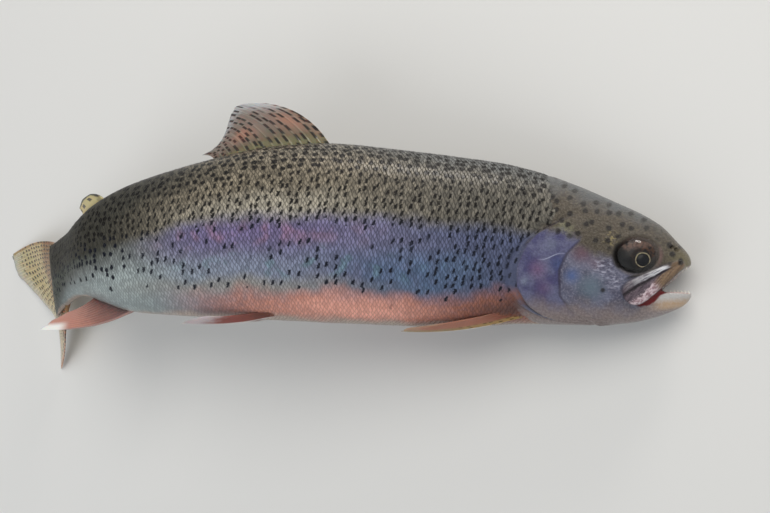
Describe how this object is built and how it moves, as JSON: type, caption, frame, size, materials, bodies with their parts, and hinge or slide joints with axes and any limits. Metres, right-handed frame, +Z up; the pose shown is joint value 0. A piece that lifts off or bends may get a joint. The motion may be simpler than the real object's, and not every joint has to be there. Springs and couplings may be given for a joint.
{
  "type": "rainbow trout",
  "caption": "Life-size still model of a rainbow trout lying on its left side, body gently arched, mouth slightly open, fins half folded.",
  "frame": {"origin": "under the middle of the fish's box, at the level it rests on", "axes": "+X towards the head, +Y towards the back, +Z up, out of the fish's right side"},
  "size_m": [0.3102, 0.0946, 0.0631],
  "materials": {
    "body_skin": "wet scaled skin: olive back with black spots, pink-violet stripe, silvery blue flank, coral belly",
    "head_skin": "wet smooth skin: olive crown with dark spots, silvery mauve cheek",
    "jaw_skin": "wet cream skin with a glassy upper edge",
    "mouth_lining": "wet red flesh",
    "jaw_plate": "silvery skin over thin bone",
    "gill_plate": "pearly violet and magenta skin over bone",
    "eye": "clear wet dome over a brown iris with a gold ring",
    "dorsal_fin": "thin grey-olive membrane on rays, with rows of dark spots",
    "adipose_fin": "fatty yellow-olive flap with a black rim",
    "tail_fin": "thin yellow-tan membrane on rays, with small dark dots",
    "belly_fins": "thin pinkish-brown membrane with a white leading edge",
    "pectoral_fins": "thin coral-orange membrane with a yellowish leading edge"
  },
  "bodies": {
    "root": {"head": "head_skin", "lower_jaw": "jaw_skin", "tongue": "mouth_lining", "maxilla_right": "jaw_plate", "maxilla_left": "jaw_plate", "gill_cover_right": "gill_plate", "gill_cover_left": "gill_plate", "eye_right": "eye", "eye_left": "eye", "trunk_front": "body_skin", "trunk_rear": "body_skin", "tail_stalk": "body_skin", "dorsal_fin": "dorsal_fin", "adipose_fin": "adipose_fin", "caudal_fin": "tail_fin", "anal_fin": "belly_fins", "pectoral_fin_right": "pectoral_fins", "pectoral_fin_left": "pectoral_fins", "pelvic_fin_right": "belly_fins", "pelvic_fin_left": "belly_fins"}
  },
  "joints": []
}
